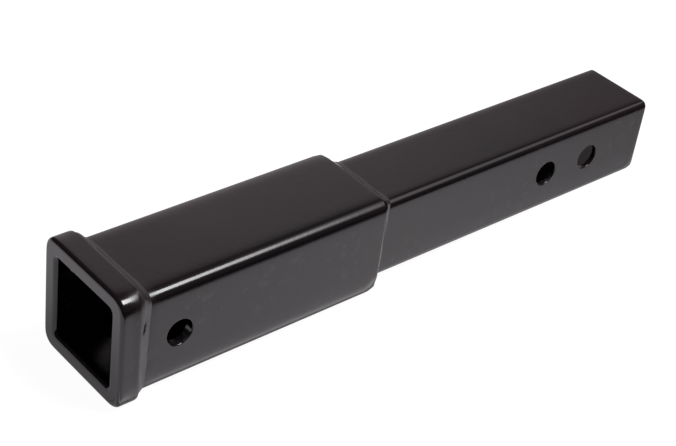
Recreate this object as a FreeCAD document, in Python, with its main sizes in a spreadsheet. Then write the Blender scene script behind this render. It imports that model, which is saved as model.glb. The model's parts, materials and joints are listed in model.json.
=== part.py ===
import FreeCAD, Part
import math
import os
import Sketcher

# Hitch receiver extender: a square receiver tube with a reinforcing collar round its mouth, and a
# square shank tube welded into its rear. Millimetres. +X runs along the tubes from the mouth to the
# shank's free end, +Z is up, and the origin is the centre of the receiver's pin hole.

doc = FreeCAD.newDocument("HitchReceiverExtender")
sheet = doc.addObject("Spreadsheet::Sheet", "Sizes")

# Driving dimensions: alias, value in millimetres, meaning
DRIVING = [
    ("shank_side", 50.8, "outside of the square shank, which also sets the socket for the next shank"),
    ("shank_wall", 3.2, "wall of the shank tube"),
    ("shank_corner", 4.2, "outer corner radius of the shank tube"),
    ("shank_bore_corner", 1.2, "inner corner radius of the shank tube"),
    ("shank_length", 283.0, "whole length of the shank tube"),
    ("shank_inserted", 51.0, "length of the shank that is hidden inside the receiver"),
    ("shank_end_break", 0.8, "bevel of the shank's outer end edge"),
    ("socket_clearance", 0.4, "gap on each side between the shank and the receiver's opening"),
    ("receiver_wall", 5.95, "wall of the receiver tube"),
    ("receiver_corner", 6.4, "outer corner radius of the receiver tube"),
    ("opening_corner", 2.4, "inner corner radius of the receiver tube"),
    ("receiver_length", 181.0, "whole length of the receiver tube"),
    ("mouth_round", 2.5, "rounding of the opening's front edge"),
    ("flash_height", 0.35, "height of the tube's weld flash inside the opening"),
    ("flash_width", 3.2, "width of the weld flash"),
    ("flash_offset", 11.0, "distance of the weld flash from the middle of the top wall"),
    ("flash_clear", 2.0, "length without flash ahead of the inserted shank"),
    ("collar_thickness", 4.76, "thickness of the collar's bar on the receiver tube"),
    ("collar_length", 12.7, "width of the collar's bar along the tube"),
    ("collar_corner", 9.5, "outer corner radius of the collar"),
    ("collar_front_round", 2.4, "rounding of the collar's outer front edge"),
    ("collar_rear_break", 0.8, "bevel of the collar's outer rear edge, down to its weld"),
    ("pin_hole_radius", 8.2, "radius of every pin hole, for a 15.9 mm pin"),
    ("pin_setback", 39.6, "distance of the receiver's pin hole from the mouth"),
    ("shank_pin_setback", 50.8, "distance of the last pin hole from the shank's free end"),
    ("shank_pin_spacing", 38.1, "distance between the shank's two pin holes"),
    ("seam_leg", 1.9, "leg of the ground flush weld at the mouth"),
    ("collar_weld_leg", 6.8, "leg of the collar's rear weld along the receiver tube"),
    ("collar_weld_shy", 0.9, "how far that weld stays below the collar's outer face"),
    ("shank_weld_leg", 9.0, "leg of the rear weld along the shank"),
    ("shank_weld_shy", 0.5, "how far that weld stays below the receiver's outer face"),
    ("weld_bulge", 0.4, "height of a fillet weld's face over its straight slope"),
    ("pore_length", 7.2, "length of the open pore in the collar's rear weld"),
    ("pore_width", 1.2, "width of the pore"),
    ("pore_depth", 1.7, "depth of the pore below the weld's face"),
    ("pore_height", 15.2, "height of the pore's middle above the tube's axis"),
    ("pore_setback", 2.9, "distance of the pore behind the collar's rear face"),
]

# Sizes that follow from the driving dimensions
OPENING_SIDE = "(Sizes.shank_side + 2 * Sizes.socket_clearance)"
RECEIVER_SIDE = f"({OPENING_SIDE} + 2 * Sizes.receiver_wall)"
COLLAR_SIDE = f"({RECEIVER_SIDE} + 2 * Sizes.collar_thickness)"
SHANK_BORE_SIDE = "(Sizes.shank_side - 2 * Sizes.shank_wall)"
MOUTH_X = "(-Sizes.pin_setback)"
COLLAR_REAR_X = f"({MOUTH_X} + Sizes.collar_length)"
RECEIVER_REAR_X = f"({MOUTH_X} + Sizes.receiver_length)"
SHANK_START_X = f"({RECEIVER_REAR_X} - Sizes.shank_inserted)"
FLASH_LENGTH = "(Sizes.receiver_length - Sizes.shank_inserted - Sizes.flash_clear - Sizes.mouth_round)"
COLLAR_WELD_RISE = "(Sizes.collar_thickness - Sizes.collar_weld_shy)"
SHANK_WELD_RISE = "(Sizes.receiver_wall + Sizes.socket_clearance - Sizes.shank_weld_shy)"
LAST_PIN_X = "(Sizes.shank_length - Sizes.shank_pin_setback)"
FIRST_PIN_X = f"({LAST_PIN_X} - Sizes.shank_pin_spacing)"

START, END, CENTRE = 1, 2, 3
ORIGIN_POINT = (-1, 1)
VERTICAL_AXIS = -2
TOUCH = 0.01


def fill_sheet():
    """Write each driving dimension as a plain number beside its name and its meaning."""
    for row, (alias, value, meaning) in enumerate(DRIVING, start=1):
        sheet.set(f"A{row}", alias)
        sheet.set(f"B{row}", str(value))
        sheet.set(f"C{row}", meaning)
        sheet.setAlias(f"B{row}", alias)
    doc.recompute()


def value(expression):
    """The present value of an expression on the sheet, in millimetres."""
    return float(sheet.evalExpression(expression))


def new_body(label, x_expression):
    """A body whose own X = 0 lies at the given place along the tubes."""
    body = doc.addObject("PartDesign::Body", label)
    body.Label = label
    body.setExpression("Placement.Base.x", x_expression)
    return body


def new_sketch(body, name, role, offset_expression="0"):
    """A sketch on one of the body's origin planes, moved along the plane's normal."""
    sketch = body.newObject("Sketcher::SketchObject", name)
    plane = next(item for item in body.Origin.OriginFeatures if item.Role == role)
    sketch.AttachmentSupport = [(plane, "")]
    sketch.MapMode = "FlatFace"
    sketch.setExpression("AttachmentOffset.Base.z", offset_expression)
    return sketch


def dimension(sketch, name, expression, kind, *places):
    """Add a named dimension to a sketch and bind it to the sheet."""
    index = sketch.addConstraint(Sketcher.Constraint(kind, *places, value(expression)))
    sketch.renameConstraint(index, name)
    sketch.setExpression(f"Constraints.{name}", expression)


def point(x, y):
    return FreeCAD.Vector(x, y, 0)


def arc(centre, radius, start_degrees, end_degrees):
    circle = Part.Circle(centre, FreeCAD.Vector(0, 0, 1), radius)
    return Part.ArcOfCircle(circle, math.radians(start_degrees), math.radians(end_degrees))


def rounded_square(sketch, side_expression, corner_expression, tag):
    """A square with rounded corners about the origin, whose top side is split at its middle."""
    half = value(side_expression) / 2
    radius = value(corner_expression)
    flat = half - radius
    first = sketch.GeometryCount
    outline = [
        Part.LineSegment(point(0, half), point(-flat, half)),
        arc(point(-flat, flat), radius, 90, 180),
        Part.LineSegment(point(-half, flat), point(-half, -flat)),
        arc(point(-flat, -flat), radius, 180, 270),
        Part.LineSegment(point(-flat, -half), point(flat, -half)),
        arc(point(flat, -flat), radius, 270, 360),
        Part.LineSegment(point(half, -flat), point(half, flat)),
        arc(point(flat, flat), radius, 0, 90),
        Part.LineSegment(point(flat, half), point(0, half)),
    ]
    sketch.addGeometry(outline, False)
    top_left, corner_1, left, corner_2, bottom, corner_3, right, corner_4, top_right = range(first, first + 9)
    ring = [top_left, corner_1, left, corner_2, bottom, corner_3, right, corner_4, top_right]
    for before, after in zip(ring, ring[1:]):
        sketch.addConstraint(Sketcher.Constraint("Tangent", before, END, after, START))
    sketch.addConstraint(Sketcher.Constraint("Coincident", top_right, END, top_left, START))
    for line in (top_left, bottom, top_right):
        sketch.addConstraint(Sketcher.Constraint("Horizontal", line))
    for line in (left, right):
        sketch.addConstraint(Sketcher.Constraint("Vertical", line))
    for corner in (corner_2, corner_3, corner_4):
        sketch.addConstraint(Sketcher.Constraint("Equal", corner_1, corner))
    sketch.addConstraint(Sketcher.Constraint("Equal", bottom, right))
    sketch.addConstraint(Sketcher.Constraint("PointOnObject", top_left, START, VERTICAL_AXIS))
    sketch.addConstraint(Sketcher.Constraint("Symmetric", left, START, right, START, *ORIGIN_POINT))
    dimension(sketch, f"{tag}_side", side_expression, "DistanceX", left, START, right, END)
    dimension(sketch, f"{tag}_corner", corner_expression, "Radius", corner_1)


def pin_circle(sketch, x_expression, tag):
    """A pin hole's circle at a distance along the tube, on its axis."""
    circle = Part.Circle(point(value(x_expression), 0), FreeCAD.Vector(0, 0, 1), value("Sizes.pin_hole_radius"))
    index = sketch.addGeometry(circle, False)
    sketch.addConstraint(Sketcher.Constraint("PointOnObject", index, CENTRE, -1))
    dimension(sketch, f"{tag}_place", x_expression, "DistanceX", *ORIGIN_POINT, index, CENTRE)
    dimension(sketch, f"{tag}_radius", "Sizes.pin_hole_radius", "Radius", index)


def edges_round(feature, x_expression, side_expression):
    """Names of the edges that run round a square outline of the given side at the given X."""
    x = value(x_expression)
    half = value(side_expression) / 2
    names = []
    for number, edge in enumerate(feature.Shape.Edges, start=1):
        box = edge.BoundBox
        reach = max(-box.YMin, box.YMax, -box.ZMin, box.ZMax)
        at_x = abs(box.XMin - x) < TOUCH and abs(box.XMax - x) < TOUCH
        if at_x and abs(reach - half) < TOUCH:
            names.append(f"Edge{number}")
    return names


def bevel_edges(body, name, feature, size_expression, edge_names):
    """Bevel edges of the body's last feature at 45 degrees."""
    bevel = body.newObject("PartDesign::Chamfer", name)
    bevel.Base = (feature, edge_names)
    bevel.setExpression("Size", size_expression)
    doc.recompute()
    return bevel


def round_edges(body, name, feature, radius_expression, edge_names):
    """Round edges of the body's last feature."""
    rounding = body.newObject("PartDesign::Fillet", name)
    rounding.Base = (feature, edge_names)
    rounding.setExpression("Radius", radius_expression)
    doc.recompute()
    return rounding


def pad(body, name, sketch, length_expression):
    feature = body.newObject("PartDesign::Pad", name)
    feature.Profile = sketch
    feature.setExpression("Length", length_expression)
    doc.recompute()
    return feature


def cut_through(body, name, sketch):
    """Cut a sketch right through the body, both ways from its plane."""
    before = body.Shape.Volume
    feature = body.newObject("PartDesign::Pocket", name)
    feature.Profile = sketch
    feature.Type = "ThroughAll"
    feature.Midplane = True
    doc.recompute()
    if body.Shape.Volume >= before:
        raise RuntimeError(f"{name} cuts nothing")
    return feature


def square_tube(body, sides, corners, length_expression):
    """Pad the ring between an outer and an inner rounded square."""
    sketch = new_sketch(body, f"{body.Name}_section", "YZ_Plane")
    rounded_square(sketch, sides[0], corners[0], "outer")
    rounded_square(sketch, sides[1], corners[1], "inner")
    return pad(body, f"{body.Name}_length", sketch, length_expression)


def build_receiver_tube():
    """Thick square tube: the socket for the next shank, with its pin hole and inner weld flash."""
    body = new_body("receiver_tube", MOUTH_X)
    tube = square_tube(body, (RECEIVER_SIDE, OPENING_SIDE), ("Sizes.receiver_corner", "Sizes.opening_corner"),
                       "Sizes.receiver_length")
    round_edges(body, "mouth_rounding", tube, "Sizes.mouth_round", edges_round(tube, "0", OPENING_SIDE))
    holes = new_sketch(body, "receiver_pin_circle", "XZ_Plane")
    pin_circle(holes, "Sizes.pin_setback", "pin")
    cut_through(body, "receiver_pin_hole", holes)
    add_weld_flash(body)
    return body


def add_weld_flash(body):
    """Low rounded ridge along the inside of the top wall, left by the tube's own long weld."""
    sketch = new_sketch(body, "flash_section", "YZ_Plane", "Sizes.mouth_round")
    top = f"({OPENING_SIDE} / 2)"
    root = f"({top} + Sizes.flash_height)"
    radius = "((Sizes.flash_width ^ 2 / 4 + Sizes.flash_height ^ 2) / (2 * Sizes.flash_height))"
    middle = value("Sizes.flash_offset")
    half_width = value("Sizes.flash_width") / 2
    wall, inside = value(top), value(root)
    low = wall - value("Sizes.flash_height")
    hump = Part.Arc(point(middle - half_width, wall), point(middle, low), point(middle + half_width, wall))
    outline = [
        hump,
        Part.LineSegment(point(middle + half_width, wall), point(middle + half_width, inside)),
        Part.LineSegment(point(middle + half_width, inside), point(middle - half_width, inside)),
        Part.LineSegment(point(middle - half_width, inside), point(middle - half_width, wall)),
    ]
    sketch.addGeometry(outline, False)
    hump_index, right, back, left = range(4)
    for line, end, other, start in ((right, END, back, START), (back, END, left, START),
                                    (left, END, hump_index, START), (hump_index, END, right, START)):
        sketch.addConstraint(Sketcher.Constraint("Coincident", line, end, other, start))
    for line in (right, left):
        sketch.addConstraint(Sketcher.Constraint("Vertical", line))
    sketch.addConstraint(Sketcher.Constraint("Horizontal", back))
    sketch.addConstraint(Sketcher.Constraint("Equal", left, right))
    dimension(sketch, "width", "Sizes.flash_width", "DistanceX", left, END, right, START)
    dimension(sketch, "place", "(Sizes.flash_offset - Sizes.flash_width / 2)", "DistanceX", *ORIGIN_POINT, left, END)
    dimension(sketch, "wall", top, "DistanceY", *ORIGIN_POINT, left, END)
    dimension(sketch, "root", "Sizes.flash_height", "DistanceY", left, END, left, START)
    dimension(sketch, "hump", radius, "Radius", hump_index)
    return pad(body, "weld_flash", sketch, FLASH_LENGTH)


def build_mouth_collar():
    """Square band of bar round the mouth, with a bevel at its inner front edge for the flush weld."""
    body = new_body("mouth_collar", MOUTH_X)
    band = square_tube(body, (COLLAR_SIDE, RECEIVER_SIDE), ("Sizes.collar_corner", "Sizes.receiver_corner"),
                       "Sizes.collar_length")
    seam = bevel_edges(body, "seam_bevel", band, "Sizes.seam_leg", edges_round(band, "0", RECEIVER_SIDE))
    front = round_edges(body, "collar_front_rounding", seam, "Sizes.collar_front_round",
                        edges_round(seam, "0", COLLAR_SIDE))
    bevel_edges(body, "collar_rear_bevel", front, "Sizes.collar_rear_break",
                edges_round(front, "Sizes.collar_length", COLLAR_SIDE))
    return body


def build_shank_tube():
    """Square tube that goes into the vehicle's receiver, with two pin holes near its free end."""
    body = new_body("shank_tube", SHANK_START_X)
    tube = square_tube(body, ("Sizes.shank_side", SHANK_BORE_SIDE), ("Sizes.shank_corner", "Sizes.shank_bore_corner"),
                       "Sizes.shank_length")
    bevel_edges(body, "shank_end_bevel", tube, "Sizes.shank_end_break",
                edges_round(tube, "Sizes.shank_length", "Sizes.shank_side"))
    holes = new_sketch(body, "shank_pin_circles", "XZ_Plane")
    pin_circle(holes, FIRST_PIN_X, "first")
    pin_circle(holes, LAST_PIN_X, "last")
    cut_through(body, "shank_pin_holes", holes)
    return body


def weld_run(body, side_expression, corner_expression, section_sketch):
    """Carry a weld's section round a tube's outline, from the middle of the top side and back to it."""
    path = new_sketch(body, f"{body.Name}_path", "YZ_Plane")
    rounded_square(path, side_expression, corner_expression, "path")
    doc.recompute()
    run = body.newObject("PartDesign::AdditivePipe", f"{body.Name}_run")
    run.Profile = section_sketch
    run.Spine = (path, [f"Edge{number}" for number in range(1, 10)])
    doc.recompute()
    return run


def fillet_section(body, side_expression, rise_expression, leg_expression):
    """Section of a fillet weld: up the face ahead of it, along the tube, and a bulging face between."""
    sketch = new_sketch(body, f"{body.Name}_section", "XZ_Plane")
    half = value(side_expression) / 2
    rise, leg, bulge = value(rise_expression), value(leg_expression), value("Sizes.weld_bulge")
    chord = math.hypot(rise, leg)
    crown = point(leg / 2 + bulge * rise / chord, half + rise / 2 + bulge * leg / chord)
    outline = [
        Part.LineSegment(point(leg, half), point(0, half)),
        Part.LineSegment(point(0, half), point(0, half + rise)),
        Part.Arc(point(0, half + rise), crown, point(leg, half)),
    ]
    sketch.addGeometry(outline, False)
    along, up, face = range(3)
    sketch.addConstraint(Sketcher.Constraint("Coincident", along, END, up, START))
    sketch.addConstraint(Sketcher.Constraint("Horizontal", along))
    sketch.addConstraint(Sketcher.Constraint("PointOnObject", up, START, VERTICAL_AXIS))
    sketch.addConstraint(Sketcher.Constraint("Vertical", up))
    face_ends = ((START, END) if sketch.getPoint(face, START).y > half + rise / 2 else (END, START))
    sketch.addConstraint(Sketcher.Constraint("Coincident", up, END, face, face_ends[0]))
    sketch.addConstraint(Sketcher.Constraint("Coincident", face, face_ends[1], along, START))
    dimension(sketch, "surface", f"({side_expression} / 2)", "DistanceY", *ORIGIN_POINT, up, START)
    dimension(sketch, "rise", rise_expression, "DistanceY", up, START, up, END)
    dimension(sketch, "leg", leg_expression, "DistanceX", along, END, along, START)
    face_radius = (f"((({rise_expression}) ^ 2 + ({leg_expression}) ^ 2) / 4 + Sizes.weld_bulge ^ 2)"
                   " / (2 * Sizes.weld_bulge)")
    dimension(sketch, "face", face_radius, "Radius", face)
    return sketch


def build_mouth_seam_weld():
    """Weld between the collar and the tube at the mouth, ground flush with both."""
    body = new_body("mouth_seam_weld", MOUTH_X)
    sketch = new_sketch(body, "mouth_seam_weld_section", "XZ_Plane")
    half, leg = value(RECEIVER_SIDE) / 2, value("Sizes.seam_leg")
    corners = [point(leg, half), point(0, half), point(0, half + leg)]
    outline = [Part.LineSegment(corners[i], corners[(i + 1) % 3]) for i in range(3)]
    sketch.addGeometry(outline, False)
    along, up, bevel = range(3)
    sketch.addConstraint(Sketcher.Constraint("Coincident", along, END, up, START))
    sketch.addConstraint(Sketcher.Constraint("Coincident", up, END, bevel, START))
    sketch.addConstraint(Sketcher.Constraint("Coincident", bevel, END, along, START))
    sketch.addConstraint(Sketcher.Constraint("Horizontal", along))
    sketch.addConstraint(Sketcher.Constraint("Vertical", up))
    sketch.addConstraint(Sketcher.Constraint("PointOnObject", up, START, VERTICAL_AXIS))
    sketch.addConstraint(Sketcher.Constraint("Equal", along, up))
    dimension(sketch, "surface", f"({RECEIVER_SIDE} / 2)", "DistanceY", *ORIGIN_POINT, up, START)
    dimension(sketch, "leg", "Sizes.seam_leg", "DistanceX", along, END, along, START)
    weld_run(body, RECEIVER_SIDE, "Sizes.receiver_corner", sketch)
    return body


def build_collar_weld():
    """Fillet weld behind the collar, with the open pore that it has on one side."""
    body = new_body("collar_weld", COLLAR_REAR_X)
    section = fillet_section(body, RECEIVER_SIDE, COLLAR_WELD_RISE, "Sizes.collar_weld_leg")
    weld_run(body, RECEIVER_SIDE, "Sizes.receiver_corner", section)
    cut_pore(body)
    return body


def cut_pore(body):
    """Narrow slot cut into the weld's face from the side at -Y."""
    sketch = new_sketch(body, "pore_outline", "XZ_Plane", f"({RECEIVER_SIDE} / 2 + Sizes.collar_thickness)")
    x, z = value("Sizes.pore_setback"), value("Sizes.pore_height")
    radius = value("Sizes.pore_width") / 2
    reach = value("Sizes.pore_length") / 2 - radius
    outline = [
        Part.LineSegment(point(x - radius, z + reach), point(x - radius, z - reach)),
        arc(point(x, z - reach), radius, 180, 360),
        Part.LineSegment(point(x + radius, z - reach), point(x + radius, z + reach)),
        arc(point(x, z + reach), radius, 0, 180),
    ]
    sketch.addGeometry(outline, False)
    front, low, rear, high = range(4)
    for before, after in ((front, low), (low, rear), (rear, high), (high, front)):
        sketch.addConstraint(Sketcher.Constraint("Tangent", before, END, after, START))
    sketch.addConstraint(Sketcher.Constraint("Vertical", front))
    sketch.addConstraint(Sketcher.Constraint("Equal", low, high))
    dimension(sketch, "radius", "(Sizes.pore_width / 2)", "Radius", low)
    dimension(sketch, "reach", "(Sizes.pore_length - Sizes.pore_width)", "DistanceY", low, CENTRE, high, CENTRE)
    dimension(sketch, "place", "Sizes.pore_setback", "DistanceX", *ORIGIN_POINT, low, CENTRE)
    low_end = "(Sizes.pore_height - Sizes.pore_length / 2 + Sizes.pore_width / 2)"
    dimension(sketch, "height", low_end, "DistanceY", *ORIGIN_POINT, low, CENTRE)
    slope = "(Sizes.pore_setback / Sizes.collar_weld_leg)"
    face_drop = f"(Sizes.collar_weld_shy + {COLLAR_WELD_RISE} * {slope})"
    before = body.Shape.Volume
    pocket = body.newObject("PartDesign::Pocket", "pore")
    pocket.Profile = sketch
    pocket.setExpression("Length", f"{face_drop} + Sizes.pore_depth")
    doc.recompute()
    if body.Shape.Volume >= before:
        raise RuntimeError("the pore cuts nothing")


def build_shank_weld():
    """Fillet weld between the receiver's rear face and the shank."""
    body = new_body("shank_weld", RECEIVER_REAR_X)
    section = fillet_section(body, "Sizes.shank_side", SHANK_WELD_RISE, "Sizes.shank_weld_leg")
    weld_run(body, "Sizes.shank_side", "Sizes.shank_corner", section)
    return body


def check_document(bodies):
    """Stop if any object failed, or if a sub-part isn't one valid solid."""
    for item in doc.Objects:
        if "Invalid" in item.State or "Error" in item.State:
            raise RuntimeError(f"{item.Name}: {item.State}")
    for body in bodies:
        shape = body.Shape
        if shape.isNull() or not shape.isValid() or len(shape.Solids) != 1:
            raise RuntimeError(f"{body.Label} isn't one valid solid")


def write_parts(bodies):
    os.makedirs("parts", exist_ok=True)
    for body in bodies:
        body.Shape.exportStep(f"parts/{body.Label}.step")
        box = body.Shape.BoundBox
        print(f"{body.Label}: {body.Shape.Volume / 1000:.1f} cm3, X {box.XMin:.1f} to {box.XMax:.1f}, "
              f"Y {box.YMin:.1f} to {box.YMax:.1f}, Z {box.ZMin:.1f} to {box.ZMax:.1f}")


fill_sheet()
sub_parts = [
    build_receiver_tube(),
    build_mouth_collar(),
    build_shank_tube(),
    build_mouth_seam_weld(),
    build_collar_weld(),
    build_shank_weld(),
]
doc.recompute()
check_document(sub_parts)
write_parts(sub_parts)
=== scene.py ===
# %% [markdown]
# # A hitch receiver extender in black paint
# The object is two square steel tubes, one welded into the end of the other, with a collar of bar round
# the open mouth. It is one colour all over, so the picture lives on its edges: the round corners, the
# rounded lip of the mouth, the foot of each weld. The lesson builds those edges as real surfaces, puts
# one glossy black coat on them, and lights them with a white floor, a back wall, a strip of ceiling and
# one softbox, because black paint shows little but what it reflects.

# %% Load the frame
import json
import math

import bmesh
import bpy
import numpy as np
from mathutils import Matrix, Vector


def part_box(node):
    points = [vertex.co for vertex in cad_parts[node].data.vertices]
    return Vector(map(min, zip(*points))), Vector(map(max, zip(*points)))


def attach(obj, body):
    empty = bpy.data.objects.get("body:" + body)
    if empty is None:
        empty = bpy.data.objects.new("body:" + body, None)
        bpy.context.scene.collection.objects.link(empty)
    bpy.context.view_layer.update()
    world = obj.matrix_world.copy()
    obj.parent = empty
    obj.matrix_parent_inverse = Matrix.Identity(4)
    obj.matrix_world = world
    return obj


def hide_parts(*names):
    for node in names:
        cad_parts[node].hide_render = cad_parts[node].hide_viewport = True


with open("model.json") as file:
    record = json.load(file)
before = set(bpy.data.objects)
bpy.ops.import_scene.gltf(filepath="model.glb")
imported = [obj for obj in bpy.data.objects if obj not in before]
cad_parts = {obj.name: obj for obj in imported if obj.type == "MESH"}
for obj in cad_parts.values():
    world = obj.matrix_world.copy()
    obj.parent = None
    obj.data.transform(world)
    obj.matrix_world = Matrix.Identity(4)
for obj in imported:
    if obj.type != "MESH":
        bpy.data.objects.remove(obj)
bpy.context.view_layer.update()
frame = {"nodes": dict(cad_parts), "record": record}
scene = bpy.context.scene
MM = 0.001
print("frame nodes:", ", ".join(sorted(frame["nodes"])))

# %% [markdown]
# The frame gives each piece's box, and the record gives the pin holes. Everything that lines up with
# another piece is read from there. What a box can't say, such as a corner's radius or a wall, is named
# here in millimetres.

# %% Sizes of the pieces, in millimetres


def reach(node):
    """Lowest X, highest X and half side of a node, in millimetres."""
    low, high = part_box(node)
    return low.x / MM, high.x / MM, high.z / MM


mouth_x, receiver_rear_x, receiver_half = reach("receiver_tube")
_, collar_rear_x, collar_half = reach("mouth_collar")
shank_start_x, shank_end_x, shank_half = reach("shank_tube")
_, collar_toe_x, _ = reach("collar_weld")
_, shank_toe_x, _ = reach("shank_weld")
_, seam_end_x, seam_half = reach("mouth_seam_weld")

bores = {mount["name"]: mount for mount in frame["record"]["mounts"] if mount["kind"] == "bore"}
receiver_pin_x = bores["receiver_pin_hole"]["pos_m"][0] / MM
shank_pins_x = [bores[name]["pos_m"][0] / MM for name in ("shank_pin_hole_near", "shank_pin_hole_end")]
pin_hole_radius = bores["receiver_pin_hole"]["dims"]["r_mm"]

receiver_wall = 5.95
receiver_corner = 6.4
opening_half = receiver_half - receiver_wall
opening_corner = 2.4
collar_corner = 9.2
shank_wall = 3.2
shank_bore_half = shank_half - shank_wall
shank_corner = 4.2
shank_bore_corner = 1.2
print(f"receiver {2 * receiver_half:.1f} mm square, collar {2 * collar_half:.1f}, "
      f"shank {2 * shank_half:.1f}")

# %% [markdown]
# ## One trip round a square tube
# Each piece here is a section carried along X, and each section is a square with round corners. A bend
# rolled from strip has no sharp line where the flat ends: its curve comes in and goes out softly, and so
# does the light on it. So a corner isn't a quarter of a circle, but a turn whose bend grows from nothing
# and fades to nothing, with a long slack start on the flats. It is scaled so that it comes as near to the
# square's own corner as a circle of the stated radius does.

# %% The soft corner


def smooth(share):
    """The smooth step from 0 to 1, which is level at both ends: three squares less two cubes."""
    return share * share * (3 - 2 * share)


def soft_turn(steps, tail=0.24, ramp=0.2, slack=0.16):
    """Points of a quarter turn from (0, 1) to (1, 0), and how far its middle stays from the corner (1, 1).
    The bend at share w of the way is a core, with a smooth ramp at both ends, plus a slack sine-squared
    bend over the whole way. The direction is the running sum of the bend, and the points are the running
    sum of the direction. The steps are even in way and direction together, so most lie in the core."""
    w = np.linspace(0, 1, 2001)
    rise = smooth(np.clip((w - tail) / ramp, 0, 1))
    core = rise * rise[::-1]
    bend = core + slack * np.sin(math.pi * w) ** 2
    angle = np.concatenate([[0], np.cumsum((bend[1:] + bend[:-1]) / 2)])
    angle *= math.pi / 2 / angle[-1]
    step_out = np.concatenate([[0], np.cumsum((np.cos(angle[1:]) + np.cos(angle[:-1])) / 2)])
    step_in = np.concatenate([[0], np.cumsum((np.sin(angle[1:]) + np.sin(angle[:-1])) / 2)])
    out, down = step_out / step_out[-1], step_in / step_in[-1]
    stops = np.interp(np.linspace(0, 1, steps + 1), (w + angle / angle[-1]) / 2, w)
    return np.interp(stops, w, out), np.interp(stops, w, down), 1 - np.interp(0.5, w, out)


class Outline:
    """The points of one trip round a rounded square, kept as shares so that the same trip fits every size.
    A side is a set of fixed lines, which the pin holes need, and a few that spread out to the corner."""

    def __init__(self, fixed, spread, turn_steps):
        edge = fixed[-1]
        share = np.linspace(0, 1, spread + 1)[1:]
        out, down, middle = soft_turn(turn_steps)
        out, down = out[1:-1], down[1:-1]
        none = np.zeros(len(out))
        anchor = np.concatenate([np.full(spread, -edge), fixed, np.full(spread, edge), none + edge])
        stretch = np.concatenate([-share[::-1], np.zeros(len(fixed)), share, none + 1])
        turn_out = np.concatenate([np.zeros(2 * spread + len(fixed)), out])
        turn_down = np.concatenate([np.zeros(2 * spread + len(fixed)), down])
        self.edge = edge
        self.anchor, self.stretch, self.out, self.down = [
            np.tile(row, 4)[:, None] for row in (anchor, stretch, turn_out, turn_down)]
        quarter = np.repeat(np.arange(4), len(anchor))[:, None]
        self.low_near = np.where(self.stretch > 0, quarter == 2, (quarter == 3) & (self.stretch < 0))
        self.cos, self.sin = np.cos(quarter * math.pi / 2), np.sin(quarter * math.pi / 2)
        self.extent = (1 - math.sqrt(0.5)) / middle

    def place(self, x, half, corner, tight=1.0):
        """Points (U, V, 3) in millimetres, for V sections at x with a half side and a corner radius each.
        Along a side, p is the fixed line plus its share of what is left of the flat; in a corner the unit
        turn is added, scaled to the corner. Each side is the top one, turned about X by quarters. The lower
        near corner's radius is tight times that of the other three."""
        size = self.extent * corner * np.where(self.low_near, tight, 1.0)
        flat = half - size
        p = self.anchor + self.stretch * (flat - self.edge) + size * self.out
        q = half - size * self.down
        y, z = self.cos * p + self.sin * q, self.cos * q - self.sin * p
        return np.stack(np.broadcast_arrays(x, y, z), axis=-1)


def ring_quads(around, along, closed):
    """Corner numbers of the quads of a grid that closes round its first side, and its second if closed."""
    u = np.arange(around)[:, None]
    v = np.arange(along if closed else along - 1)[None, :]
    u_next, v_next = (u + 1) % around, (v + 1) % along
    quad = [u * along + v, u_next * along + v, u_next * along + v_next, u * along + v_next]
    return np.stack(quad, axis=-1).reshape(-1, 4)


def quarter_round(x, half, radius, start, end, steps=6):
    """Points (x, half) of a rounded edge about a centre, between two angles in degrees measured from +X."""
    angle = np.radians(np.linspace(start, end, steps + 1))
    return np.stack([x + radius * np.cos(angle), half + radius * np.sin(angle)], 1)


sample = Outline(np.array([-1.0, 1.0]), spread=1, turn_steps=8)
print(f"a soft corner reaches {sample.extent:.2f} times its radius along each side")

# %% [markdown]
# A mesh is made from whole arrays, of all the points and all the faces, in one call. Where surfaces meet
# edge to edge, as at a pin hole, their doubled points are merged. Then the faces are turned outwards.

# %% From arrays to a piece
merge_distance = 0.002


def add_object(name, data):
    """A new object of the scene that shows the data."""
    made = bpy.data.objects.new(name, data)
    scene.collection.objects.link(made)
    return made


def new_piece(name, parts, replaced, sharp_degrees=35):
    """A piece on its body, from pairs of points in millimetres and faces. It is shaded smooth, but for the
    edges that turn by more than the sharp angle."""
    points = np.concatenate([part[0].reshape(-1, 3) for part in parts])
    starts = np.cumsum([0] + [part[0].size // 3 for part in parts])
    faces = np.concatenate([part[1] + start for part, start in zip(parts, starts)])
    mesh = bpy.data.meshes.new(name)
    mesh.from_pydata(points * MM, [], faces.tolist())
    work = bmesh.new()
    work.from_mesh(mesh)
    bmesh.ops.remove_doubles(work, verts=work.verts, dist=merge_distance * MM)
    bmesh.ops.recalc_face_normals(work, faces=work.faces)
    open_edges = sum(edge.is_boundary for edge in work.edges)
    work.to_mesh(mesh)
    work.free()
    mesh.shade_smooth()
    mesh.set_sharp_from_angle(angle=math.radians(sharp_degrees))
    piece = add_object(name, mesh)
    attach(piece, "root")
    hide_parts(*replaced)
    print(f"{name}: {len(mesh.polygons)} faces, {open_edges} open edges")
    return piece


def even_lines(start, end, spacing):
    """Evenly spaced numbers from start to end, about the given spacing apart."""
    return np.linspace(start, end, max(1, round(abs(end - start) / spacing)) + 1)


def lines_past_holes(start, end, holes, block, spacing):
    """Lines along X from start to end that hold each hole's own block of lines unchanged."""
    stops = [start] + [x for hole in holes for x in (hole + block[0], hole + block[-1])] + [end]
    runs = [even_lines(stops[i], stops[i + 1], spacing) for i in range(0, len(stops), 2)]
    blocks = [hole + block for hole in holes]
    return np.unique(np.concatenate(runs + blocks).round(6))


# %% [markdown]
# ## Pin holes
# A hole cut with a boolean leaves long thin faces that shade badly, so each hole is a fan of its own. A
# square block of the wall's grid is left out, and rings of points run from the block's border to the
# circle, over a small rounded lip, down the wall of the hole and out again on the inside. It is the lip,
# rounded by its paint, that catches the light.

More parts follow.
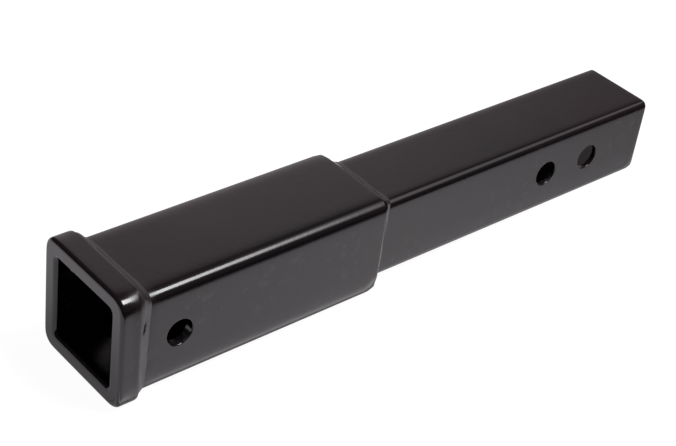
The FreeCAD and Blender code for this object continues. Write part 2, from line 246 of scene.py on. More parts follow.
# %% The pin hole's fan
hole_block = np.linspace(-12, 12, 31)
hole_lip = 0.6
lip_steps = 6
lip_margin = 0.25
border_shares = ((1, 0), (0.55, 0.2), (0.2, 0.2))


def block_border():
    """Points once round the border of a hole's block."""
    onward, back = hole_block[:-1], hole_block[:0:-1]
    low, high = np.full_like(onward, hole_block[0]), np.full_like(onward, hole_block[-1])
    sides = (onward, low), (high, onward), (back, high), (low, back)
    return np.concatenate([np.stack(side, 1) for side in sides])


def pin_hole(x, outer_half, inner_half, side):
    """A hole's surface through one wall, at side -1 or +1 of Y. Its rings are the block's border, blends of
    border and circle, a ring just outside the lip, the quarter-round lip and the wall, and then the same
    again in reverse inside. A blend is a share of the border, and the circle with a little added to it."""
    border = block_border()
    unit = border / np.linalg.norm(border, axis=1, keepdims=True)
    rim = pin_hole_radius + hole_lip
    rings = [unit * (rim + extra) * (1 - share) + border * share for share, extra in border_shares]
    rings.append(unit * (rim + lip_margin))
    angle = np.radians(np.linspace(0, 90, lip_steps + 1))
    rings += [unit * radius for radius in rim - hole_lip * np.sin(angle)]
    sunk = [0] * (len(border_shares) + 1) + list(hole_lip * (1 - np.cos(angle)))
    wall = even_lines(outer_half - hole_lip, inner_half + hole_lip, 1)[1:-1]
    outside, inside = [outer_half - depth for depth in sunk], [inner_half + depth for depth in sunk]
    depths = outside + list(wall) + inside[::-1]
    rings = rings + [unit * pin_hole_radius] * len(wall) + rings[::-1]
    points = np.stack([
        np.stack([x + ring[:, 0], np.full(len(ring), side * depth), ring[:, 1]], 1)
        for ring, depth in zip(rings, depths)], axis=1)
    return points, ring_quads(len(border), len(rings), closed=False)


def tube_with_holes(outline, x, half, corner, holes, outer_half, inner_half, tight, bend):
    """The closed skin of a tube, less each hole's block on both side walls, plus the holes' surfaces. The
    bend is a function that moves the skin's points, away from the holes."""
    points = bend(outline.place(x, half, corner, tight))
    quads = ring_quads(points.shape[0], points.shape[1], closed=True)
    centre = points.reshape(-1, 3)[quads].mean(axis=1)
    block = hole_block[-1]
    in_wall = (np.abs(centre[:, 1]) > inner_half - 1) & (np.abs(centre[:, 2]) < block)
    in_block = np.any([np.abs(centre[:, 0] - hole) < block for hole in holes], axis=0)
    parts = [(points, quads[~(in_wall & in_block)])]
    for hole in holes:
        parts += [pin_hole(hole, outer_half, inner_half, side) for side in (-1, 1)]
    return parts


print(f"each hole's fan has {4 * (len(hole_block) - 1)} spokes round a {2 * pin_hole_radius:.1f} mm hole")

# %% [markdown]
# ## The receiver tube
# The wall's section is walked once round: along the outside, over the rear edge, back along the inside,
# and over the mouth's rounded lip to the flat front face. Each corner of that walk is an arc of its own
# radius, and the outline's corner radius grows or shrinks with the offset, as it does on a real tube. The
# weld behind it has melted the outer rear edge down. The inside has the low ridge that the tube mill's own
# weld leaves along one wall. Two corners of the rear end are rubbed round.

# %% The receiver's skin
NEAR_LOW, NEAR_TOP, FAR_TOP = (-1, -1), (-1, 1), (1, 1)
wall_spacing = 4
mouth_round = 2.6
melt_radius = 3.5
melt_turn = 24
inner_rear_round = 0.3
support = 0.25
ridge_place = 11.0
ridge_half_width = 1.6
ridge_height = 0.45
mouth_offset = (0.8, 0.6)
mouth_offset_depth = 26
rub_ramp = 7


def profile_rows(*pieces):
    """Join stretches of (x, half, corner) rows into three arrays, without a point twice in a row."""
    rows = np.concatenate(pieces)
    keep = np.any(np.abs(rows - np.roll(rows, 1, axis=0)) > 1e-6, axis=1)
    return rows[keep].T


def rows_at(x, half, corner):
    """Rows (x, half, corner) from numbers or arrays of one length."""
    return np.stack(np.broadcast_arrays(np.atleast_1d(x), half, corner), axis=1).astype(float)


def arc_rows(arc, base_half, base_corner):
    """Rows of an arc, whose outline corner grows by as much as its half side does."""
    return rows_at(arc[:, 0], arc[:, 1], base_corner + arc[:, 1] - base_half)


def rub_corner(points, end_x, corner, reach, depth, start, where=True):
    """Pull a corner in towards the axis by up to the depth, more and more as its end at end_x comes within
    reach. The corner is given as the signs of Y and Z, and it begins where both are past the start."""
    to_end = np.clip(1 - np.abs(points[..., 0] - end_x) / reach, 0, 1) ** 2
    past_start = np.minimum(corner[0] * points[..., 1], corner[1] * points[..., 2]) - start
    in_corner = np.clip(past_start / rub_ramp, 0, 1)
    points[..., 1:] -= (depth * to_end * in_corner * where)[..., None] * np.array(corner)
    return points


def as_made(points):
    """Push the inside of the top wall down along the tube's own weld, as a cosine hump across the wall. Set
    the mouth's opening a little off centre, which fades out with depth. Rub two corners' ends round."""
    from_axis = np.abs(points[..., 1:]).max(axis=-1)
    inner = from_axis < opening_half + mouth_round + support + 0.15
    across = np.clip(np.abs(points[..., 1] - ridge_place) / ridge_half_width, 0, 1)
    hump = ridge_height * (0.5 + 0.5 * np.cos(across * math.pi))
    at_roof = np.abs(points[..., 2] - opening_half) < mouth_round * 0.6
    before_shank = points[..., 0] < shank_start_x - 2
    points[..., 2] -= np.where(inner & at_roof & before_shank, hump, 0)
    fade = smooth(np.clip((points[..., 0] - mouth_x) / mouth_offset_depth, 0, 1))
    points[..., 1:] += (inner * (1 - fade))[..., None] * np.array(mouth_offset)
    points = rub_corner(points, receiver_rear_x, FAR_TOP, reach=3.5, depth=0.8, start=22, where=~inner)
    return rub_corner(points, receiver_rear_x, NEAR_LOW, reach=5, depth=1.0, start=20, where=~inner)


melt_start_x = receiver_rear_x - melt_radius * math.sin(math.radians(melt_turn))
rear_arc = quarter_round(melt_start_x, receiver_half - melt_radius, melt_radius, 90, 90 - melt_turn)
inner_start_x, inner_end_x = mouth_x + mouth_round, receiver_rear_x - inner_rear_round
inner_rear_arc = quarter_round(inner_end_x, opening_half + inner_rear_round, inner_rear_round, 0, -90)
mouth_arc = quarter_round(inner_start_x, opening_half + mouth_round, mouth_round, 270, 180, 10)
outer_lines = lines_past_holes(mouth_x, rear_arc[0, 0], [receiver_pin_x], hole_block, wall_spacing)
inner_lines = lines_past_holes(inner_start_x, inner_end_x, [receiver_pin_x], hole_block, wall_spacing)
rear_face = even_lines(rear_arc[-1, 1] - support, opening_half + 0.6, 2)
front_face = [opening_half + mouth_round + support, receiver_half - support]
receiver_profile = profile_rows(
    rows_at(outer_lines, receiver_half, receiver_corner),
    arc_rows(rear_arc, receiver_half, receiver_corner),
    rows_at(receiver_rear_x, rear_face, opening_corner + 1),
    arc_rows(inner_rear_arc, opening_half, opening_corner),
    rows_at(inner_lines[::-1], opening_half, opening_corner),
    arc_rows(mouth_arc, opening_half, opening_corner),
    rows_at(mouth_x, front_face, receiver_corner - 1))
tube_outline = Outline(hole_block, spread=4, turn_steps=14)
receiver_parts = tube_with_holes(
    tube_outline, *receiver_profile, [receiver_pin_x], receiver_half, opening_half,
    tight=0.88, bend=as_made)
receiver = new_piece("receiver_tube_skin", receiver_parts, ["receiver_tube"])

# %% [markdown]
# ## The shank tube
# The same walk round a thinner wall, with two pin holes. The free end is sawn and only lightly broken, so
# its edges are small, and one of its corners is rubbed round. The other end is hidden inside the receiver,
# and shows only when one looks down the mouth.

# %% The shank's skin
outer_edge = 0.7
inner_edge = 0.35


def shank_lines(edge):
    """Lines along the shank that stop short of both ends by the radius of an edge."""
    start, end = shank_start_x + edge, shank_end_x - edge
    return lines_past_holes(start, end, shank_pins_x, hole_block, wall_spacing)


def end_rows(x, direction):
    """Rows over one sawn end, which faces direction along X: outer edge, flat face and inner edge."""
    turn = 0 if direction > 0 else 180
    outer_arc = quarter_round(x - direction * outer_edge, shank_half - outer_edge, outer_edge, 90, turn)
    inner_arc = quarter_round(x - direction * inner_edge, shank_bore_half + inner_edge, inner_edge,
                              turn, turn - direction * 90)
    face = rows_at(x, [shank_half - outer_edge - support, shank_bore_half + inner_edge + support],
                   [shank_corner - 1, shank_bore_corner + 0.6])
    return np.concatenate([arc_rows(outer_arc, shank_half, shank_corner), face,
                           arc_rows(inner_arc, shank_bore_half, shank_bore_corner)])


def end_as_used(points):
    """Rub the near lower corner of the free end round."""
    return rub_corner(points, shank_end_x, NEAR_LOW, reach=5, depth=1.2, start=20.8)


shank_profile = profile_rows(
    rows_at(shank_lines(outer_edge), shank_half, shank_corner),
    end_rows(shank_end_x, 1),
    rows_at(shank_lines(inner_edge)[::-1], shank_bore_half, shank_bore_corner),
    end_rows(shank_start_x, -1)[::-1])
shank_parts = tube_with_holes(
    tube_outline, *shank_profile, shank_pins_x, shank_half, shank_bore_half,
    tight=0.5, bend=end_as_used)
shank = new_piece("shank_tube_skin", shank_parts, ["shank_tube"])

# %% [markdown]
# ## The collar and its flush weld
# The collar is a band of bar bent round the mouth, a little off centre. Its outer front edge is well
# rounded. On the sides its weld has melted the rear edge down to the slope with which the bead carries on.
# On top the rear edge is level and a little further back, and its near end is rubbed round. The weld that
# joins the collar to the tube in front is ground flat, so in front there is one smooth ring: the tube, a
# thin ring of weld and the collar, all in one plane.

# %% The collar and the seam
collar_front_round = 2.4
collar_rear_radius = 5
collar_rear_turn = 22
collar_rear_shift = 0.7
collar_offset = (0.85, 0.5)
collar_skin_half = collar_half - 0.2
seam_leg = seam_half - receiver_half

band_outline = Outline(np.linspace(-12, 12, 13), spread=4, turn_steps=20)
front_half = collar_skin_half - collar_front_round
rear_turn_x = collar_rear_x - collar_rear_radius * math.sin(math.radians(collar_rear_turn))
collar_rear_arc = quarter_round(rear_turn_x, collar_skin_half - collar_rear_radius, collar_rear_radius,
                                90, 90 - collar_rear_turn, 8)
rear_half = collar_rear_arc[-1, 1]
collar_front_arc = quarter_round(mouth_x + collar_front_round, front_half, collar_front_round, 180, 90, 10)
collar_profile = profile_rows(
    rows_at(mouth_x, [seam_half, front_half - support],
            [receiver_corner + seam_leg, collar_corner - collar_front_round - support]),
    arc_rows(collar_front_arc, collar_skin_half, collar_corner),
    rows_at(even_lines(mouth_x + collar_front_round, rear_turn_x, 2), collar_skin_half, collar_corner),
    arc_rows(collar_rear_arc, collar_skin_half, collar_corner),
    rows_at(collar_rear_x, receiver_half, receiver_corner),
    rows_at(seam_end_x, receiver_half, receiver_corner))


def top_share(points):
    """1 on the top side and 0 on the others, with a smooth step over each upper corner."""
    angle = np.degrees(np.arctan2(points[..., 2], np.abs(points[..., 1])))
    return smooth(np.clip((angle - 36) / 18, 0, 1))


def off_centre(profile, shift):
    """A ring's points, moved off the axis by the shift, but less and less from the outside in."""
    points = band_outline.place(*profile)
    weight = np.clip((profile[1] - receiver_half) / (front_half - support - receiver_half), 0, 1)
    points[..., 1:] += weight[None, :, None] * np.array(shift)
    return points


def collar_band():
    """The collar's points. Its profile with the melted rear edge is blended, by the share that is top, with
    a second one, whose rear edge is level and set back. Then one corner's rear end is rubbed."""
    melted = off_centre(collar_profile, collar_offset)
    at_rear = collar_profile[0] > rear_turn_x - 0.01
    on_edge = at_rear & (collar_profile[1] > rear_half - 0.01)
    level_profile = collar_profile.copy()
    level_profile[1] += np.where(on_edge, collar_skin_half - collar_profile[1], 0)
    level_profile[2] += level_profile[1] - collar_profile[1]
    level = off_centre(level_profile, collar_offset)
    level[..., 0] += np.where(at_rear, collar_rear_shift, 0)
    points = melted + top_share(melted[:, :1])[..., None] * (level - melted)
    return rub_corner(points, collar_rear_x + collar_rear_shift, NEAR_TOP, reach=5, depth=0.7, start=27)


def closed_skin(points):
    """The one part of a piece whose sections and trip round the tube both close."""
    return [(points, ring_quads(points.shape[0], points.shape[1], closed=True))]


collar = new_piece("mouth_collar_skin", closed_skin(collar_band()), ["mouth_collar"])
seam_profile = profile_rows(
    rows_at([mouth_x, mouth_x, seam_end_x], [receiver_half, seam_half, receiver_half],
            [receiver_corner, receiver_corner + seam_leg, receiver_corner]))
seam_points = off_centre(seam_profile, collar_offset)
seam = new_piece("mouth_seam_bead", closed_skin(seam_points), ["mouth_seam_weld"])

# %% [markdown]
# ## The weld beads
# A fillet weld is a ramp between two faces, and this one was laid with the part turned by hand, so its
# ramp isn't the same all round: on top it starts level and then falls steeply, on the sides it is almost
# straight. Its toe wanders, and it carries the faint crescents that the pool left as it froze, here mostly
# drowned in paint. The bead is the same trip round the square, where each place has a section of its own,
# blended from two bent lines.

# %% The bead's section and its ripples
bead_outline = Outline(np.linspace(-12, 12, 55), spread=24, turn_steps=22)
face_steps = 60
fine_steps = 600
half_window = 39
ripple_spacing = 1.7
ripple_height = 0.05
bead_sink = 0.03


def waves(turns, seed, lowest, highest, count):
    """A smooth wandering curve round the bead, from sines that fit a whole number of times, about +-1."""
    draw = np.random.default_rng(seed)
    cycles = draw.integers(lowest, highest, count)
    phases = draw.uniform(0, 2 * math.pi, count)
    return np.sin(2 * math.pi * cycles * turns[..., None] + phases).sum(-1) / math.sqrt(count)


def running_line(knots):
    """Points (x, height) at even steps along a bent line, its corners rounded off by a running mean."""
    knots = np.array(knots, float)
    way = np.concatenate([[0], np.cumsum(np.linalg.norm(np.diff(knots, axis=0), axis=1))])
    fine = np.linspace(0, way[-1], fine_steps + 1)
    line = np.stack([np.interp(fine, way, knots[:, 0]), np.interp(fine, way, knots[:, 1])])
    weights = np.hanning(2 * half_window + 3)[1:-1]
    padded = np.pad(line, ((0, 0), (half_window, half_window)), mode="reflect", reflect_type="odd")
    rounded = np.stack([np.convolve(row, weights / weights.sum(), "valid") for row in padded])
    return rounded[:, :: fine_steps // face_steps].T


def bead(name, start_x, base_half, base_corner, side, top, seed, node,
         offset=(0, 0), climb=0.0, shrink=0.0, wander=0.03, pit=None):
    """A weld bead as one closed skin. Its face follows one line of (x, height) knots on the sides and
    another on top. The ripples lift it along the face's own normal, and its toe wanders. The offset makes
    it higher on the sides that a collar off centre moves out to. The climb lengthens it from the bottom of
    a side to its top, by a share, and it may shrink by a share where the camera doesn't see it. A pit is a
    depth taken out of the near side's face."""
    w = np.linspace(0, 1, face_steps + 1)[None, :]
    base = bead_outline.place(start_x, base_half, base_corner)[:, 0]
    steps = np.linalg.norm(base - np.roll(base, 1, axis=0), axis=1)
    along = np.cumsum(steps)[:, None]
    whole = along[-1, 0]
    turns = along / whole
    share = top_share(base)[:, None]
    face = running_line(side) + share[..., None] * (running_line(top) - running_line(side))
    unit = base[:, 1:] / base_half
    lean = ((unit * np.abs(unit) ** 6) @ np.array(offset))[:, None]
    hidden = np.clip(np.maximum(unit[:, :1], -unit[:, 1:]), 0, 1) ** 6
    shape = (1 + lean / face[:, :1, 1] + 0.006 * waves(turns, seed + 1, 2, 11, 5)) * (1 - shrink * hidden)
    length = 1 + wander * waves(turns, seed, 3, 17, 7) + climb * unit[:, 1:] * (1 - share)
    leg, rise = face[:, -1:, 0] * length, face[:, :1, 1] * shape
    slope = np.hypot(leg, rise)
    belly = 4 * w * (1 - w)
    swell = 4 * wander * waves(turns, seed + 2, 3, 13, 6) * belly
    count = round(whole / ripple_spacing)
    crescent = count * turns - 0.55 * belly + 0.35 * waves(turns, seed + 3, 4, 19, 6)
    ripple = ripple_height * np.cos(2 * math.pi * crescent) * belly ** 1.5
    lift = swell + ripple
    x = start_x + face[..., 0] * np.where(face[..., 0] > 0, length, 1) + lift * rise / slope
    height = face[..., 1] * shape + lift * leg / slope
    if pit is not None:
        near = (base[:, 1] < 0) & (np.abs(base[:, 1]) > base_half - 1)
        depth = pit(base[:, 2:3], x - start_x) * near[:, None]
        x = x - depth * rise / slope
        height = height - depth * leg / slope
    under = np.full_like(leg, -bead_sink)
    x = np.concatenate([x, x[:, -1:], x[:, :1]], axis=1)
    height = np.concatenate([height, under, under], axis=1)
    points = bead_outline.place(x, base_half + height, base_corner + height)
    piece = new_piece(name, closed_skin(points), [node], sharp_degrees=50)
    print(f"  {whole:.0f} mm round, {count} ripples")
    return piece


# %% [markdown]
# On the side that faces the camera, the collar's weld has a pore: a gas bubble that broke through and was
# painted over. It is a narrow leaning slot, with walls steep enough to hold their own shadow.

# %% The beads and the pore
pore_height = 15.2
pore_behind_collar = 2.6
pore_half_length = 3.4
pore_half_width = 0.85
pore_depth = 3.2
pore_lean = 0.10
neck_squeeze = 0.8
neck_share = 0.16


def pore(z, x):
    """Depth of the pore: a flat-bottomed bowl over a leaning ellipse, with a small neck in the middle. The
    bowl is one over one plus the fourth power of the squared distance from the pore's middle."""
    along = (z - pore_height) / pore_half_length
    across = (x - pore_behind_collar - pore_lean * (z - pore_height)) / pore_half_width
    neck = 1 + neck_squeeze * np.exp(-(along / neck_share) ** 2)
    squared = along ** 2 + across ** 2 * neck
    return pore_depth / (1 + squared ** 4)


collar_leg = collar_toe_x - collar_rear_x
side_rise = rear_half - receiver_half
top_rise = collar_skin_half - receiver_half
collar_side = [(0, side_rise), (2.4, 0.62 * side_rise), (collar_leg - 0.8, 0.10 * side_rise),
               (collar_leg, 0)]
collar_top = [(collar_rear_shift, top_rise), (2.5, 0.94 * top_rise), (5.7, 0.18 * top_rise),
              (collar_leg + 1.3, 0)]
collar_bead = bead("collar_weld_bead", collar_rear_x, receiver_half, receiver_corner,
                   collar_side, collar_top, seed=5, node="collar_weld", offset=collar_offset,
                   climb=0.10, pit=pore)

shank_leg = shank_toe_x - receiver_rear_x
shank_rise = rear_arc[-1, 1] - shank_half
shank_side = [(0, shank_rise), (0.8, shank_rise - 0.42), (5.8, 0.8), (shank_leg - 1.6, 0)]
shank_top = [(0, shank_rise), (0.6, shank_rise - 0.2), (6.0, 1.95), (7.0, 1.72), (7.8, 1.48), (8.8, 1.0),
             (shank_leg + 1.2, 0)]
shank_bead = bead("shank_weld_bead", receiver_rear_x, shank_half, shank_corner,
                  shank_side, shank_top, seed=23, node="shank_weld", shrink=0.4, wander=0.05)

# %% [markdown]
# ## Black paint
# Shader maths reads best as plain sums, so a small class wraps a node's socket and turns + - * into Math
# nodes. One method makes every other node: its settings go in first, then its values and links.

# %% Sockets that add up


class Wire:
    """A number on its way through a material. Arithmetic on it adds Math nodes."""

    def __init__(self, graph, socket):
        self.graph, self.socket = graph, socket

    def maths(self, operation, first, second=0.0):
        """The result of one operation on one or two numbers."""
        return self.graph.node("ShaderNodeMath", {"operation": operation}, {0: first, 1: second})

    def __add__(self, other):
        return self.maths("ADD", self, other)

    def __sub__(self, other):
        return self.maths("SUBTRACT", self, other)

    def __mul__(self, other):
        return self.maths("MULTIPLY", self, other)

    def __rsub__(self, other):
        return self.maths("SUBTRACT", other, self)

    __radd__, __rmul__ = __add__, __mul__

    def above(self, low, high):
        """0 below low, 1 above high, and a smooth step between them."""
        return self.graph.node("ShaderNodeMapRange", {"interpolation_type": "SMOOTHSTEP"},
                               {"Value": self, "From Min": low, "From Max": high})


class Graph:
    """The node tree of a material, a lamp or the world."""

    def __init__(self, tree):
        self.tree = tree
        tree.nodes.clear()

    def node(self, kind, settings=None, inputs=None, output=0):
        """Add a node, set what it is, fill its sockets, and return one of its outputs."""
        made = self.tree.nodes.new(kind)
        for name, setting in (settings or {}).items():
            setattr(made, name, setting)
        for key, given in (inputs or {}).items():
            if isinstance(given, Wire):
                self.tree.links.new(given.socket, made.inputs[key])
            else:
                made.inputs[key].default_value = given
        return Wire(self, made.outputs[output]) if len(made.outputs) else made

    def split(self, vector):
        """The three numbers of a vector."""
        made = self.tree.nodes.new("ShaderNodeSeparateXYZ")
        self.tree.links.new(vector.socket, made.inputs[0])
        return [Wire(self, socket) for socket in made.outputs]

    def noise(self, place, scale, detail=2.0, roughness=0.5, distortion=0.0):
        """Cloudy noise from 0 to 1, whose clouds are about one over the scale across, in metres."""
        return self.node("ShaderNodeTexNoise", None, {
            "Vector": place, "Scale": scale, "Detail": detail, "Roughness": roughness,
            "Distortion": distortion})

    def mix(self, share, first, second):
        """A colour between two: the first at share 0, the second at share 1."""
        return self.node("ShaderNodeMix", {"data_type": "RGBA"}, {0: share, 6: first, 7: second}, output=2)


# %% [markdown]
# The paint is sprayed enamel over mill steel: nearly black, glossy, a little uneven. Three things break
# its mirror. Orange peel, about a millimetre across, frets every highlight. Slow waves a few centimetres
# long come from the tube's own rolled walls. And the gloss itself varies: the coat is thinner in places,
# has been handled, and is dull for a few millimetres beside the collar's weld. Handling has also left
# faint pale scuffs on the sides. The weld gets the same coat over a rougher ground.

# %% The paint
tube_blacks = (0.0110, 0.0066, 0.0076, 1), (0.0080, 0.0064, 0.0078, 1)
weld_blacks = (0.0215, 0.0165, 0.0178, 1), (0.0190, 0.0163, 0.0180, 1)
scuffed_black = (0.0320, 0.0290, 0.0300, 1)
dull_ring_x = -0.0245
wave_height = 3.0e-5
ripple_in_paint = 2.4e-5


def paint(name, gloss, peel, blacks):
    """Glossy black. Its colour drifts between two blacks, and is paler in scuffs below the top's edge. Its
    roughness is the gloss plus patches, rubbed streaks and the dull ring by the collar's weld. Its bump
    adds the peel, ripples and slow waves. All lengths in a material are in metres."""
    material = bpy.data.materials.new(name)
    material.use_nodes = True
    graph = Graph(material.node_tree)
    place = graph.node("ShaderNodeTexCoord", output="Object")
    along, _, up = graph.split(place)
    handled = graph.noise(place, 24, 1).above(0.46, 0.60) * (1 - up.above(0.019, 0.025))
    scuffs = graph.noise(place, 200, 3, 0.55, 0.4).above(0.52, 0.66) * handled
    drift = graph.noise(place, 14, 2).above(0.35, 0.65)
    colour = graph.mix(scuffs, graph.mix(drift, *blacks), scuffed_black)
    patches = graph.noise(place, 45, 4, 0.6)
    stretched = graph.node("ShaderNodeMapping", None, {"Vector": place, "Scale": (1, 5, 5)})
    rubbed = graph.noise(stretched, 60, 3, 0.65).above(0.62, 0.78)
    from_weld = along.maths("ABSOLUTE", along - dull_ring_x)
    baked = 1 - from_weld.above(0.005, 0.0115)
    roughness = gloss + 0.08 * (patches - 0.5) + 0.07 * rubbed + 0.14 * baked
    orange_peel = graph.noise(place, 900, 2, 0.5)
    ripples = graph.noise(place, 260, 1, 0.5)
    slow_waves = graph.noise(place, 30, 1, 0.5)
    height = peel * orange_peel + ripple_in_paint * ripples + wave_height * slow_waves
    bumped = graph.node("ShaderNodeBump", None, {"Height": height, "Strength": 1.0, "Distance": 1.0})
    skin = graph.node("ShaderNodeBsdfPrincipled", None, {
        "Base Color": colour, "Roughness": roughness, "Normal": bumped, "IOR": 1.56})
    graph.node("ShaderNodeOutputMaterial", None, {"Surface": skin})
    return material


tube_paint = paint("black_enamel_on_tube", gloss=0.16, peel=9.0e-6, blacks=tube_blacks)
weld_paint = paint("black_enamel_on_weld", gloss=0.20, peel=2.0e-5, blacks=weld_blacks)
for piece in (receiver, shank, collar, seam):
    piece.data.materials.append(tube_paint)
for piece in (collar_bead, shank_bead):
    piece.data.materials.append(weld_paint)
print("paints:", tube_paint.name, "and", weld_paint.name)

# %% [markdown]
# ## The floor
# The part lies as it comes to rest: on the lower rear edge of the collar and the lower edge of the
# shank's free end. So the floor isn't level in the part's own frame, but tilted to pass under both. It is
# white to the camera, bright in reflections, and it keeps a soft shadow. The reflection fades out some way
# from the part, as the light on a sheet of paper does at its edge, and that makes the dark bands beside
# the corners' highlights.

# %% The tilted floor
floor_gap = 0.05
floor_tilt = math.atan2(collar_half - shank_half, shank_end_x - collar_rear_x)
floor_height = -collar_half - math.tan(floor_tilt) * (collar_rear_x - 0.5) - floor_gap
floor_reach = 6000


def white_floor(white, mirrored, shadowed, caught, dark_angle, white_angle, far_fade):
    """Emission for camera and mirror rays, plus a diffuse share that catches the shadow. A mirror ray's
    steepness is its angle above the floor as seen along X: below 90 degrees it leaves the part towards the
    front, above 90 towards the back. It finds the floor dark below the first angle and bright above the
    second. The floor also dims along the shank and past it, between two places along X in metres. Within
    about 30 millimetres of the part it is brighter in a narrow band of angles, painted light, then darker,
    a painted shadow of the part that only reflections show, and at last as it was. For flat backward rays,
    which leave the front face, it dims towards the mouth: painted shade of the part, seen in the front
    face."""
    material = bpy.data.materials.new("white_sheet")
    material.use_nodes = True
    graph = Graph(material.node_tree)
    rays = graph.node("ShaderNodeLightPath", output="Is Camera Ray")
    mirror = graph.node("ShaderNodeLightPath", output="Is Glossy Ray")
    through = graph.node("ShaderNodeLightPath", output="Is Transmission Ray")
    travelled = graph.node("ShaderNodeLightPath", output="Ray Length")
    place = graph.node("ShaderNodeNewGeometry", output="Position")
    back_along_ray = graph.node("ShaderNodeNewGeometry", output="Incoming")
    along, _, _ = graph.split(place)
    _, sideways, upwards = graph.split(back_along_ray)
    steepness = upwards.maths("ARCTAN2", upwards, sideways)

    def steeper(low, high):
        """0 for rays below the first angle in degrees, 1 above the second."""
        return steepness.above(math.radians(low), math.radians(high))

    pool = steeper(dark_angle, white_angle) * (1 - 0.6 * along.above(*far_fade))
    close = 1 - travelled.above(0.012, 0.032)
    # Painted light and painted shadow: close to the part the mirrored floor is brighter in one band of
    # angles and darker in the next, where the part's shadow would fall.
    lit = 1 + close * (1.6 * steeper(49, 56) - 2.2 * steeper(60, 68) + 0.6 * steeper(98, 112))
    # Painted shade: for the front face's reflections the floor dims near the mouth, where the part's shadow
    # would fall.
    from_front = steeper(112, 130) * (0.38 * along.above(-0.105, -0.042) - 0.05)
    strength = white * (rays + through) + mirrored * mirror * pool * lit * (1 - from_front)
    violet = graph.node("ShaderNodeCombineColor", None, {0: 1.0, 1: 1 - 0.05 * mirror, 2: 1.0})
    glow = graph.node("ShaderNodeEmission", None, {"Color": violet, "Strength": strength})
    catch = shadowed * (1 - mirror) + caught * mirror * pool
    grey = graph.node("ShaderNodeCombineColor", None, {0: catch, 1: catch, 2: catch})
    matt = graph.node("ShaderNodeBsdfDiffuse", None, {"Color": grey})
    both = graph.node("ShaderNodeAddShader", None, {0: glow, 1: matt})
    graph.node("ShaderNodeOutputMaterial", None, {"Surface": both})
    return material


corners = np.array([[-1, -1], [1, -1], [1, 1], [-1, 1]]) * floor_reach
floor_points = np.column_stack([corners, floor_height + math.tan(floor_tilt) * corners[:, 0]])
floor_mesh = bpy.data.meshes.new("floor")
floor_mesh.from_pydata(floor_points * MM, [], [[0, 1, 2, 3]])
floor = add_object("floor", floor_mesh)
floor_mesh.materials.append(white_floor(
    white=0.965, mirrored=0.69, shadowed=0.10, caught=0.30, dark_angle=27, white_angle=40,
    far_fade=(0.12, 0.62)))
print(f"floor tilted {math.degrees(floor_tilt):.2f} degrees under the part")

# %% [markdown]
# ## The light
# A flat of black paint shows one small patch of the room, and a corner sweeps across all of it: back
# wall, dark ceiling, softbox, dark room, floor. So the room is written as those bands. The world holds
# the dull ones by direction, with one bright strip of ceiling past the shank's end. One long softbox in
# front and above gives the bright line on the near corners. It fades along its length, so the line is
# brightest at the mouth and gone on the shank.

# %% The room
world = bpy.data.worlds.new("studio")
scene.world = world
world.use_nodes = True
room = Graph(world.node_tree)
direction = room.node("ShaderNodeTexCoord", output="Generated")
dir_x, dir_y, dir_z = room.split(direction)
camera_ray = room.node("ShaderNodeLightPath", output="Is Camera Ray")
elevation = dir_z.maths("ARCTAN2", dir_z, dir_y)
back_wall = 1 - elevation.above(math.radians(30), math.radians(58))
back_wall = back_wall * dir_x.above(0.12, 0.42) * (0.85 + 0.17 * dir_x.above(0.46, 0.52))
back_wall = back_wall * (1 - 0.60 * dir_x.above(0.58, 0.76))
ceiling = (dir_y - 3.3 * (dir_x - 0.80)).above(-0.10, 0.10) * dir_x.above(0.48, 0.58)
ceiling = ceiling * dir_z.above(0.45, 0.60) * (1 - dir_y.above(0.0, 0.30))
dull = 0.05 + 0.79 * back_wall + 1.1 * ceiling
shine = dull * (1 - camera_ray) + camera_ray
unseen = 1 - camera_ray
warm = room.node("ShaderNodeCombineColor", None, {0: 1.0, 1: 1 - 0.09 * unseen, 2: 1 - 0.06 * unseen})
backdrop = room.node("ShaderNodeBackground", None, {"Color": warm, "Strength": shine})
room.node("ShaderNodeOutputWorld", None, {"Surface": backdrop})


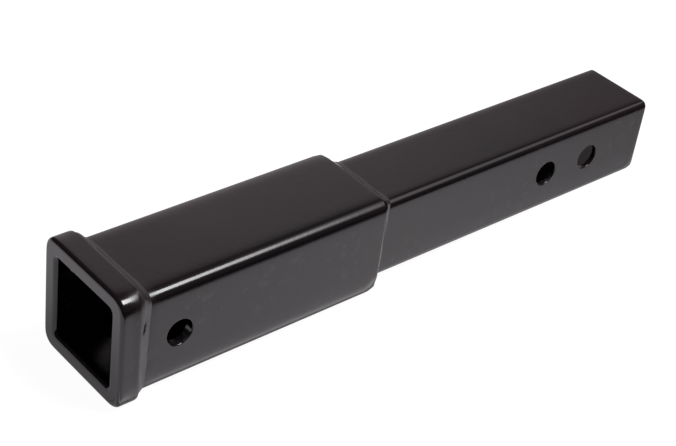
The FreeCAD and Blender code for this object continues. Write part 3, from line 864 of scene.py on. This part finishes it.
def softbox(name, target, toward, distance, size, strength, fade):
    """An area lamp of a width and height that faces a target from a direction, all in metres. Its own nodes
    fade it along its width, between two places given as shares from its left end."""
    lamp = bpy.data.lights.new(name, "AREA")
    lamp.shape = "RECTANGLE"
    lamp.size, lamp.size_y = size
    lamp.energy = strength * size[0] * size[1] * math.pi
    lamp_object = add_object(name, lamp)
    aim = Vector(toward).normalized()
    lamp_object.location = Vector(target) + aim * distance
    across = Vector((1, 0, 0)) - aim * aim.x
    across.normalize()
    lamp_object.matrix_world = Matrix.Translation(lamp_object.location) @ Matrix(
        (across, aim.cross(across), aim)).transposed().to_4x4()
    lamp.use_nodes = True
    graph = Graph(lamp.node_tree)
    place = graph.node("ShaderNodeNewGeometry", output="Position")
    left = lamp_object.location - across * size[0] / 2
    offset = graph.node("ShaderNodeVectorMath", {"operation": "SUBTRACT"}, {0: place, 1: tuple(left)})
    share = graph.node("ShaderNodeVectorMath", {"operation": "DOT_PRODUCT"},
                       {0: offset, 1: tuple(across / size[0])}, output="Value")
    glow = graph.node("ShaderNodeEmission", None, {"Strength": 1 - share.above(*fade)})
    graph.node("ShaderNodeOutputLight", None, {"Surface": glow})


softbox("key_softbox", target=(0, 0, 0.03), toward=(0.466, -0.35, 0.81), distance=1.5, size=(0.9, 0.72),
        strength=18.5, fade=(0.3, 0.9))
print("one softbox, a back wall and a dark room")

# %% [markdown]
# ## The camera
# The camera stands where the picture was taken from: in front of the mouth, to the side, and looking
# down. Its place, the point it looks at and a few degrees of roll were worked out from the edges of the
# part in the picture. The lens is long, so the far end looks hardly smaller than the near one.

# %% The camera
camera_place = Vector((-406.57, -546.93, 538.04)) * MM
camera_aim = Vector((135.30, 0.78, 0.0)) * MM
camera_roll = math.radians(8.091)
lens = bpy.data.cameras.new("camera")
lens.sensor_width = 36.0
lens.lens = 86.05
lens.shift_x, lens.shift_y = 0.0007, 0.0009
camera = add_object("camera", lens)
look = (camera_aim - camera_place).to_track_quat("-Z", "Y").to_matrix().to_4x4()
camera.matrix_world = Matrix.Translation(camera_place) @ look @ Matrix.Rotation(camera_roll, 4, "Z")
scene.camera = camera
scene.view_settings.view_transform = "Standard"
print(f"camera {(camera_aim - camera_place).length:.2f} m from the point it looks at")
